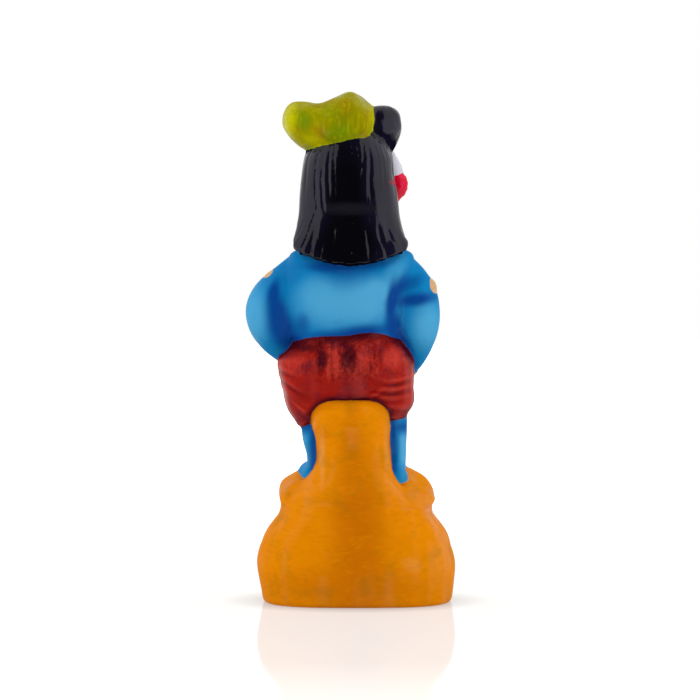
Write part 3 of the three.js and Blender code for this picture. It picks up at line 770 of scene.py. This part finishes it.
PALE_PASSES = [
    # Painted highlights over the airbrushed pale blue, on the back, the arms and the right shoulder
    (-4.4, 117.4, 9, 8, -6, 0.95), (9, 116, 12, 8, 0, 0.85), (15, 121, 6, 5.5, 0, 0.6),
    (-8.4, 121.4, 4, 4, 0, 1), (39.8, 112, 5, 11, 0, 0.85), (-28.2, 108, 5.6, 9, 0, 0.9),
    (-14.6, 126, 9, 3.4, -64, 0.55),
    # Painted highlights on the dhoti's gathers and hips
    (-3.4, 96, 2.4, 5, 0, 0.9), (8.4, 95, 1.8, 5.5, 0, 0.8), (-14.4, 95.6, 3.6, 4, 0, 1),
    (24, 94, 5, 4, 0, 0.5),
    # Painted highlights down the prop's rounded edges, and a paler patch low on the mound
    (13, 58, 1.1, 10, 0, 0.9), (-11.8, 59, 0.9, 10, 0, 0.6), (-21.5, 17, 4, 2.6, 20, 0.5),
    # A painted sheen across the hair's bend, then the cap's yellow on its lobe, its lower edge and right end
    (2, 153.4, 11, 2.2, 0, 1), (26.6, 187, 3.4, 8, 10, 1), (15, 178.6, 5, 2.4, 20, 0.8),
    (-6.6, 186, 1.6, 8, 0, 0.8),
]


def painted_hairline(x, y, z):
    """How far a point lies above the hairline, which runs over the forehead and down the temples, but
    not over the ears."""
    hairline = HAIRLINE_Z - 1.5 + 0.008 * (x - BODY_X) ** 2 - 6 * ease(y, -15, -8)
    between_ears = np.abs(x - BODY_X) < HEAD_HALF_WIDTH - 0.8
    return np.where(between_ears, np.minimum(z - hairline, 3), -3)


def shade_legs(deep, pale, on_skin, x, y, z):
    """On the legs, painted shade deepens the airbrushed blue inside and under the hem, and a painted
    highlight lightens the outside.
    """
    leg_share = (1 - ease(z, HEM_Z - 2, HEM_Z + 2)) * ease(y, -9, -5) * on_skin
    turned = np.abs(x) - LEG_X - 1.8 * ease(x, -1, 1)
    inner_side = 0.85 * (1 - ease(turned, 0.8, 3.2)) * ease(z, 47, 52)
    outer_side = (1 - 0.4 * ease(x, -1, 1)) * ease(turned, 2, 4.4) * (0.3 + 0.7 * ease(z, 51, 57))
    under_hem = ease(z, HEM_Z - 7, HEM_Z - 1)
    deep = deep * (1 - leg_share) + leg_share * np.maximum(inner_side, 0.8 * under_hem)
    pale = pale * (1 - leg_share) + leg_share * outer_side * (1 - under_hem)
    return deep, pale


def keep_attributes(piece):
    """Stores what the paint follows: its edges, the hollows, and the passes of airbrushing, painted shade and
    painted highlights.
    """
    corners, normals = read_points(piece)
    x, y, z = corners.T
    stored = {f"{paint}_edge": edge for paint, edge in paint_edges(corners).items()}
    stored["hair_edge"] = np.maximum(stored["hair_edge"], painted_hairline(x, y, z))
    # Some of the tassel's red runs over onto the hair beside it
    slip = -0.08 - ((z - 163.4) / 5) ** 2 - 0.2 * ((y - 5) / 8) ** 4
    stored["red_edge"] = np.where(x < -9, np.maximum(stored["red_edge"], slip), stored["red_edge"])
    fine, broad = hollows(piece, corners, normals, 3), hollows(piece, corners, normals, 60)
    behind = ease(normals[:, 1], -0.25, 0.35)
    # Painted shade darkens the broad hollows everywhere, and a painted highlight lightens the rounded forms
    # on the front
    deep = np.maximum(behind * airbrush_and_painted_light(corners, DEEP_PASSES), ease(broad, 0.12, 0.75) * 0.9)
    pale = np.maximum(behind * airbrush_and_painted_light(corners, PALE_PASSES), (1 - behind) * ease(-broad, -0.05, 0.7) * 0.6)
    deep, pale = shade_legs(deep, pale, stored["skin_edge"] > -0.5, x, y, z)
    gathered = ease(z, 84, 92) * (1 - ease(z, 102, 105))
    crinkle = ease(y, 2, 8) * gathered * (0.5 + 0.5 * (1 - ease(np.abs(x - 2), 7, 14)))
    stored |= {
        "deep": deep, "pale": pale, "crinkle": crinkle, "fine_hollow": fine, "broad_hollow": broad,
        "underside": ease(-normals[:, 2], 0.03, 0.2)}
    for name, values in stored.items():
        attribute = piece.data.attributes.new(name, "FLOAT", "POINT")
        attribute.data.foreach_set("value", values.astype(np.float32))


fill_creases(figurine)
carve(figurine)
keep_attributes(figurine)
bpy.ops.object.shade_smooth()


# Paint


def linear(hex_colour):
    """An sRGB hex colour as the linear colour that Blender works in."""
    parts = [int(hex_colour[i:i + 2], 16) / 255 for i in (1, 3, 5)]
    return (*(p / 12.92 if p <= 0.04045 else ((p + 0.055) / 1.055) ** 2.4 for p in parts), 1)


def add(tree, kind, links=None, **settings):
    """Adds a node, gives it its settings, and sets or links its inputs."""
    made = tree.nodes.new(kind)
    for name, value in settings.items():
        setattr(made, name, value)
    for name, value in (links or {}).items():
        if isinstance(value, bpy.types.NodeSocket):
            tree.links.new(value, made.inputs[name])
        else:
            made.inputs[name].default_value = value
    return made


def new_tree(name):
    """A new material's empty node tree."""
    material = bpy.data.materials.new(name)
    material.use_nodes = True
    material.node_tree.nodes.clear()
    return material, material.node_tree


def per_mm(size):
    """The scale of a noise whose blotches are a size in millimetres, on coordinates in metres."""
    return 1 / (size * MM)


# Each paint: its colour, then tints laid over it as (source, from, to, strength, colour). The source
# is a stored attribute or a noise, and the tint is full where the source reaches its second number.
PAINTS = {
    # Skin: pale and deep are the airbrushing mixed with painted highlights and painted shade, and the fine
    # hollows get painted shade
    "skin": ("#0f7fbc", [
        ("pale", 0.05, 0.95, 0.95, "#52acda"), ("deep", 0.05, 0.95, 0.97, "#0b4494"),
        ("blotch", 0.55, 0.8, 0.12, "#0f5fa8"), ("fine_hollow", 0.05, 0.3, 0.5, "#0d3c8a")]),
    # Dhoti: painted highlights on its rounded folds, ridges, crinkles, gathers and hips, and painted shade in
    # its hollows, creases and gathers and along its edges where it meets the other paints; the smudges and
    # dabs are its own
    "dhoti": ("#96140e", [
        ("broad_hollow", 0.05, -0.5, 0.45, "#b82a1c"), ("broad_hollow", 0.05, 0.5, 0.85, "#480810"),
        ("fine_hollow", -0.01, -0.1, 0.6, "#d04434"), ("fine_hollow", 0.01, 0.12, 0.85, "#2c060e"),
        ("crinkle_highlight_and_shade", 0.02, 0.16, 0.45, "#cc443a"), ("crinkle_highlight_and_shade", -0.02, -0.14, 0.6, "#38060e"),
        ("deep", 0.3, 1, 0.85, "#3c0412"), ("pale", 0.1, 1, 0.75, "#d03e34"),
        ("smudge", 0.52, 0.7, 0.6, "#54142c"), ("dab", 0.58, 0.8, 0.3, "#a83a34"),
        ("dhoti_edge", 3, 0.2, 0.5, "#5a0a12")]),
    # Ochre: painted shade down the middle and in the hollows, and painted highlights down the prop's rounded
    # edges; the strokes and smudges are the paint's own
    "ochre": ("#e48602", [
        ("deep", 0.1, 1, 0.75, "#c06402"), ("pale", 0.1, 1, 0.6, "#dc984c"),
        ("stroke", 0.52, 0.75, 0.3, "#c26802"),
        ("stroke", 0.46, 0.3, 0.2, "#f09a0c"), ("smudge", 0.52, 0.7, 0.32, "#8f6c10"),
        ("broad_hollow", 0.1, 0.8, 0.5, "#ac6204")]),
    # Hair: a violet base as a painted sheen, black where the deep passes paint its dark reflection down the
    # middle, and paler as a painted sheen on its bend
    "hair": ("#131024", [
        ("deep", 0.1, 0.9, 0.9, "#020203"), ("smudge", 0.5, 0.65, 0.5, "#05040a"),
        ("pale", 0.1, 1, 0.8, "#1c1b22")]),
    "cap": ("#989000", [
        ("blotch", 0.48, 0.68, 0.5, "#8a9004"), ("blotch", 0.46, 0.3, 0.5, "#aea804"),
        ("smudge", 0.5, 0.66, 0.7, "#957408"), ("deep", 0.1, 1, 0.9, "#6c8a04"),
        ("pale", 0.1, 1, 0.9, "#c8c406"), ("stroke", 0.52, 0.7, 0.3, "#80860a"),
        ("strand", 0.52, 0.7, 0.4, "#c0b008"), ("strand", 0.46, 0.3, 0.35, "#78800a")]),
    # White, red and gold: painted shade in the fine hollows
    "white": ("#d2d1dc", [("fine_hollow", 0.02, 0.2, 0.6, "#8f8ea6")]),
    "red": ("#dc0c2c", [("dab", 0.5, 0.7, 0.6, "#ee1a66"), ("fine_hollow", 0.02, 0.2, 0.7, "#8c0a18")]),
    "gold": ("#d9b083", [("stroke", 0.5, 0.7, 0.4, "#b98a55"), ("fine_hollow", 0.02, 0.2, 0.6, "#8a5a34")]),
}

# How each paint's edge and gloss differ: raggedness in millimetres, the noise that gives it, roughness,
# metallic share, and the varnish where it is thinnest and thickest
FINISHES = {
    "skin": (0, "dab", 0.35, 0.1, 0.03, 0.25), "dhoti": (0.5, "dab", 0.26, 0.35, 0.08, 0.5),
    "ochre": (0.5, "dab", 0.4, 0.1, 0.02, 0.4), "hair": (1.6, "strand", 0.3, 0, 0.8, 1),
    "cap": (1.1, "dab", 0.4, 0.1, 0.02, 0.4), "white": (0.5, "dab", 0.4, 0, 0.1, 0.3),
    "red": (0.5, "dab", 0.3, 0.1, 0.2, 0.6), "gold": (0.4, "dab", 0.35, 0.3, 0.1, 0.3),
}
# Half the width over which one paint gives way to the next, in millimetres
EDGE_BLUR = 0.12
# How many millimetres further in the hair's varnish starts where the hair faces down
UNDERSIDE_BARE = 3.0

# The painted face, as (colour, areas it lies inside, areas it stays out of). An area is an ellipse
# (distance from the middle line, z, half width, half height) in millimetres.
FACE = [
    ("#0b0b12", [(6, EYE_Z + 3.36, 5.1, 5.1), (6, EYE_Z - 3.36, 5.1, 5.1)], []),
    ("#e9e6e2", [(6, EYE_Z + 3.36, 4.8, 4.8), (6, EYE_Z - 3.36, 4.4, 4.4)], []),
    ("#120c0c", [(5.9, EYE_Z + 0.1, 1.3, 1.4), (6, EYE_Z - 3.36, 4.4, 4.4)], []),
    ("#0b0b12", [(6.2, BROW_Z - 5.2, 6.9, 6.9)], [(6.2, BROW_Z - 6, 7.1, 7.1)]),
    ("#c02036", [(0, MOUTH_Z, 2.8, 1.2)], [(0, MOUTH_Z + 1.5, 0.6, 0.6)]),
    ("#701020", [(0, MOUTH_Z, 2.6, 0.18)], []),
    ("#d8a018", [(0, BROW_Z + 4.6, 1.1, 3.4)], []),
    ("#b01824", [(0, BROW_Z + 4.4, 0.5, 2.4)], []),
]


def paint_face(tree, place, colour):
    """Lays the face's painted features over the skin, in front of the ears only."""
    middle = add(tree, "ShaderNodeVectorMath", {0: place, 1: (BODY_X * MM, 0, 0)},
                 operation="SUBTRACT").outputs[0]
    folded = add(tree, "ShaderNodeVectorMath", {0: middle}, operation="ABSOLUTE").outputs[0]
    ahead = add(tree, "ShaderNodeSeparateXYZ", {0: place}).outputs["Y"]
    front = add(tree, "ShaderNodeMapRange", {
        "Value": ahead, "From Min": (FACE_Y + 5) * MM, "From Max": (FACE_Y + 4.5) * MM}).outputs[0]

    def inside(across, z, half_width, half_height):
        offset = add(tree, "ShaderNodeVectorMath", {0: folded, 1: (across * MM, 0, z * MM)},
                     operation="SUBTRACT").outputs[0]
        reach = add(tree, "ShaderNodeVectorMath", {
            0: offset, 1: (per_mm(half_width), 0, per_mm(half_height))}, operation="MULTIPLY").outputs[0]
        share = add(tree, "ShaderNodeVectorMath", {0: reach}, operation="LENGTH").outputs["Value"]
        blur = 0.1 / half_height
        return add(tree, "ShaderNodeMapRange", {
            "Value": share, "From Min": 1 + blur, "From Max": 1 - blur}).outputs[0]

    for tint, areas, gaps in FACE:
        amount = front
        for area in areas:
            amount = add(tree, "ShaderNodeMath", {0: amount, 1: inside(*area)},
                         operation="MULTIPLY").outputs[0]
        for gap in gaps:
            taken = add(tree, "ShaderNodeMath", {0: amount, 1: inside(*gap)}, operation="MULTIPLY").outputs[0]
            amount = add(tree, "ShaderNodeMath", {0: amount, 1: taken}, operation="SUBTRACT").outputs[0]
        colour = add(tree, "ShaderNodeMix", {0: amount, 6: colour, 7: linear(tint)},
                     data_type="RGBA").outputs[2]
    return colour


def paint_sources(tree, place):
    """What the tints follow: the stored attributes, and noises as large as the marks of the brush."""
    upright = add(tree, "ShaderNodeMapping", {"Vector": place, "Scale": (1, 1, 0.14)}).outputs["Vector"]
    drift = add(tree, "ShaderNodeTexNoise", {
        "Vector": place, "Scale": per_mm(9), "Detail": 1}).outputs["Color"]
    bent = add(tree, "ShaderNodeVectorMath", {
        0: drift, 1: (5 * MM, 5 * MM, 5 * MM), 2: place}, operation="MULTIPLY_ADD").outputs[0]
    leaning = add(tree, "ShaderNodeMapping", {"Vector": place, "Scale": (1, 1, 0.75)}).outputs["Vector"]
    swept = add(tree, "ShaderNodeMapping", {
        "Vector": bent, "Scale": (0.3, 0.3, 1), "Rotation": (0, 0.25, 0)}).outputs["Vector"]
    sources = {
        name: add(tree, "ShaderNodeAttribute", attribute_name=name).outputs["Fac"]
        for name in [f"{paint}_edge" for paint in FORMS] + [
            "deep", "pale", "crinkle", "underside", "fine_hollow", "broad_hollow"]
    }
    # Each noise: its coordinates, the size of its marks in millimetres, and its detail
    noises = {
        "blotch": (place, 7, 3), "dab": (place, 1.6, 2), "strand": (upright, 1.1, 2),
        "stroke": (swept, 1.1, 3), "smudge": (bent, 9, 6), "patch": (upright, 8, 1),
        "foil": (leaning, 1.2, 4),
    }
    for name, (vector, size, detail) in noises.items():
        sources[name] = add(tree, "ShaderNodeTexNoise", {
            "Vector": vector, "Scale": per_mm(size), "Detail": detail}).outputs["Fac"]
    # The crinkles' painted highlights and painted shade: lighter where the foil noise raises them, darker
    # where it sinks them
    uneven = add(tree, "ShaderNodeMath", {0: sources["foil"], 1: 0.5}, operation="SUBTRACT").outputs[0]
    sources["crinkle_highlight_and_shade"] = add(tree, "ShaderNodeMath", {
        0: uneven, 1: sources["crinkle"]}, operation="MULTIPLY").outputs[0]
    return sources


def brush_relief(tree, sources, masks):
    """The ridges that the brush left, and the fine crinkles of the dhoti's gathers."""
    height = add(tree, "ShaderNodeMath", {0: sources["blotch"], 1: 0.1}, operation="MULTIPLY").outputs[0]
    for source, size, where in (
            ("strand", 0.06, masks["hair"]), ("stroke", 0.07, masks["ochre"]), ("stroke", 0.07, masks["cap"]),
            ("dab", 0.05, masks["dhoti"]), ("foil", 1.0, sources["crinkle"])):
        share = add(tree, "ShaderNodeMath", {0: where, 1: size}, operation="MULTIPLY").outputs[0]
        height = add(tree, "ShaderNodeMath", {0: sources[source], 1: share, 2: height},
                     operation="MULTIPLY_ADD").outputs[0]
    return add(tree, "ShaderNodeBump", {"Height": height, "Distance": MM, "Strength": 1.0}).outputs[0]


def brushed_enamel():
    """Enamel brushed and sprayed over low-fired clay, then varnished: a wet gloss over soft airbrush shading
    mixed with painted shade and painted highlights, with brush marks, ragged edges where two paints meet, and
    painted shade in the hollows."""
    material, tree = new_tree("brushed_enamel_over_clay")
    place = add(tree, "ShaderNodeTexCoord").outputs["Object"]
    sources = paint_sources(tree, place)

    def varnish_of(thinnest, thickest):
        return add(tree, "ShaderNodeMapRange", {
            "Value": sources["patch"], "From Min": 0.5, "From Max": 0.72,
            "To Min": thinnest, "To Max": thickest}).outputs[0]

    colour, masks = None, {}
    roughness, metallic, *thinnest_and_thickest = FINISHES["skin"][2:]
    varnish = varnish_of(*thinnest_and_thickest)
    for paint, (base, tints) in PAINTS.items():
        painted = linear(base)
        for source, start, end, strength, tint in tints:
            amount = add(tree, "ShaderNodeMapRange", {
                "Value": sources[source], "From Min": start, "From Max": end, "To Max": strength}).outputs[0]
            painted = add(tree, "ShaderNodeMix", {0: amount, 6: painted, 7: linear(tint)},
                          data_type="RGBA").outputs[2]
        if colour is None:
            colour = paint_face(tree, place, painted)
            continue
        ragged, noise, rough, metal, *coats = FINISHES[paint]
        wobble = add(tree, "ShaderNodeMath", {0: sources[noise], 1: ragged, 2: -0.3 * ragged},
                     operation="MULTIPLY_ADD").outputs[0]
        edge = add(tree, "ShaderNodeMath", {0: sources[f"{paint}_edge"], 1: wobble}).outputs[0]
        mask = masks[paint] = add(tree, "ShaderNodeMapRange", {
            "Value": edge, "From Min": -EDGE_BLUR, "From Max": EDGE_BLUR}).outputs[0]
        colour = add(tree, "ShaderNodeMix", {0: mask, 6: colour, 7: painted}, data_type="RGBA").outputs[2]
        roughness = add(tree, "ShaderNodeMix", {0: mask, 2: roughness, 3: rough}).outputs[0]
        metallic = add(tree, "ShaderNodeMix", {0: mask, 2: metallic, 3: metal}).outputs[0]
        inner = mask
        if paint == "hair":
            dull = add(tree, "ShaderNodeMath", {0: sources["underside"], 1: UNDERSIDE_BARE},
                       operation="MULTIPLY").outputs[0]
            glossy = add(tree, "ShaderNodeMath", {0: edge, 1: dull}, operation="SUBTRACT").outputs[0]
            inner = add(tree, "ShaderNodeMapRange", {
                "Value": glossy, "From Min": 1, "From Max": 2.4}).outputs[0]
        bare = add(tree, "ShaderNodeMix", {0: mask, 2: varnish, 3: 0.0}).outputs[0]
        varnish = add(tree, "ShaderNodeMix", {0: inner, 2: bare, 3: varnish_of(*coats)}).outputs[0]

    normal = brush_relief(tree, sources, masks)
    shader = add(tree, "ShaderNodeBsdfPrincipled", {
        "Base Color": colour, "Roughness": roughness, "Metallic": metallic, "Normal": normal,
        "Specular IOR Level": 0.0, "Coat Weight": varnish, "Coat Roughness": 0.06, "Coat Normal": normal})
    add(tree, "ShaderNodeOutputMaterial", {"Surface": shader.outputs[0]})
    return material


figurine.data.materials.clear()
figurine.data.materials.append(brushed_enamel())
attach(figurine, "root")
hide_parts(NODE)


# The stage


def floor():
    """A white acrylic sheet that glows: bright all over but for a painted shadow round the foot of what
    stands on it, with a faint mirror image."""
    bpy.ops.object.select_all(action="DESELECT")
    bpy.ops.mesh.primitive_plane_add(size=2.4)
    bpy.ops.object.mode_set(mode="EDIT")
    bpy.ops.mesh.select_all(action="SELECT")
    bpy.ops.transform.translate(value=(0, -0.8, 0))
    bpy.ops.object.mode_set(mode="OBJECT")
    sheet = bpy.context.object
    sheet.name = "floor"
    material, tree = new_tree("white_acrylic_sheet")
    place = add(tree, "ShaderNodeTexCoord").outputs["Object"]
    share = add(tree, "ShaderNodeVectorMath", {
        0: place, 1: (per_mm(MOUND_HALF_WIDTH), per_mm(MOUND_HALF_DEPTH), 0)},
        operation="MULTIPLY").outputs[0]
    reach = add(tree, "ShaderNodeVectorMath", {0: share}, operation="LENGTH").outputs["Value"]
    # The glow dims close round the mound's outline as a painted shadow, and brightens far out
    near = add(tree, "ShaderNodeMapRange", {
        "Value": reach, "From Min": 1.0, "From Max": 1.4, "To Min": 0.42, "To Max": 0.6}).outputs[0]
    far = add(tree, "ShaderNodeMapRange", {
        "Value": reach, "From Min": 6, "From Max": 13, "To Min": 0, "To Max": 0.35}).outputs[0]
    glow = add(tree, "ShaderNodeMath", {0: near, 1: far}).outputs[0]
    shader = add(tree, "ShaderNodeBsdfPrincipled", {
        "Base Color": (0.25, 0.25, 0.25, 1), "Roughness": 0.06, "IOR": 1.06,
        "Emission Color": (1, 0.985, 0.95, 1), "Emission Strength": glow})
    add(tree, "ShaderNodeOutputMaterial", {"Surface": shader.outputs[0]})
    sheet.data.materials.append(material)


def white_room():
    """White walls to both sides and behind the figurine, a dark gap behind the camera, and plain
    white to the eye."""
    world = bpy.data.worlds.new("white_room")
    bpy.context.scene.world = world
    world.use_nodes = True
    tree = world.node_tree
    tree.nodes.clear()
    towards = add(tree, "ShaderNodeTexCoord").outputs["Generated"]
    level = add(tree, "ShaderNodeVectorMath", {0: towards, 1: (1, 1, 0)}, operation="MULTIPLY").outputs[0]
    heading = add(tree, "ShaderNodeVectorMath", {0: level}, operation="NORMALIZE").outputs[0]
    facing = add(tree, "ShaderNodeVectorMath", {0: heading, 1: (0, 1, 0)},
                 operation="DOT_PRODUCT").outputs["Value"]
    gap = math.radians(35)
    light = add(tree, "ShaderNodeMapRange", {
        "Value": facing, "From Min": math.cos(gap + 0.04), "From Max": math.cos(gap - 0.04),
        "To Min": 1.0, "To Max": 0.03}).outputs[0]
    eye = add(tree, "ShaderNodeLightPath").outputs["Is Camera Ray"]
    strength = add(tree, "ShaderNodeMix", {0: eye, 2: light, 3: 1.0}).outputs[0]
    shader = add(tree, "ShaderNodeBackground", {"Color": (1, 1, 1, 1), "Strength": strength})
    add(tree, "ShaderNodeOutputWorld", {"Surface": shader.outputs[0]})


def softbox(name, azimuth, height, power):
    """A large soft light, turned to the figurine, that leaves no mirror image of itself."""
    lamp = bpy.data.lights.new(name, "AREA")
    lamp.shape = "RECTANGLE"
    lamp.size, lamp.size_y = 0.6, 0.9
    lamp.energy = power
    holder = bpy.data.objects.new(name, lamp)
    bpy.context.scene.collection.objects.link(holder)
    turn = math.radians(azimuth)
    holder.location = (math.sin(turn), math.cos(turn), height)
    holder.rotation_euler = (Vector((0, 0, 0.1)) - holder.location).to_track_quat("-Z", "Y").to_euler()
    holder.visible_glossy = False


def camera():
    """A long lens behind the figurine, a little above its middle, as in the photograph."""
    distance, elevation = 1.6, math.radians(3)
    middle = Vector((2.25, 0, 98)) * MM
    frame_width = 0.273
    lens = bpy.data.cameras.new("camera")
    lens.sensor_width = 36
    lens.lens = lens.sensor_width * distance / frame_width
    holder = bpy.data.objects.new("camera", lens)
    bpy.context.scene.collection.objects.link(holder)
    holder.location = middle + Vector((0, distance * math.cos(elevation), distance * math.sin(elevation)))
    holder.rotation_euler = (middle - holder.location).to_track_quat("-Z", "Y").to_euler()
    bpy.context.scene.camera = holder


floor()
white_room()
softbox("left_softbox", 75, 0.4, 1)
softbox("right_softbox", -75, 0.4, 1)
softbox("fill", 0, 0.8, 6)
camera()
bpy.context.scene.view_settings.view_transform = "Standard"
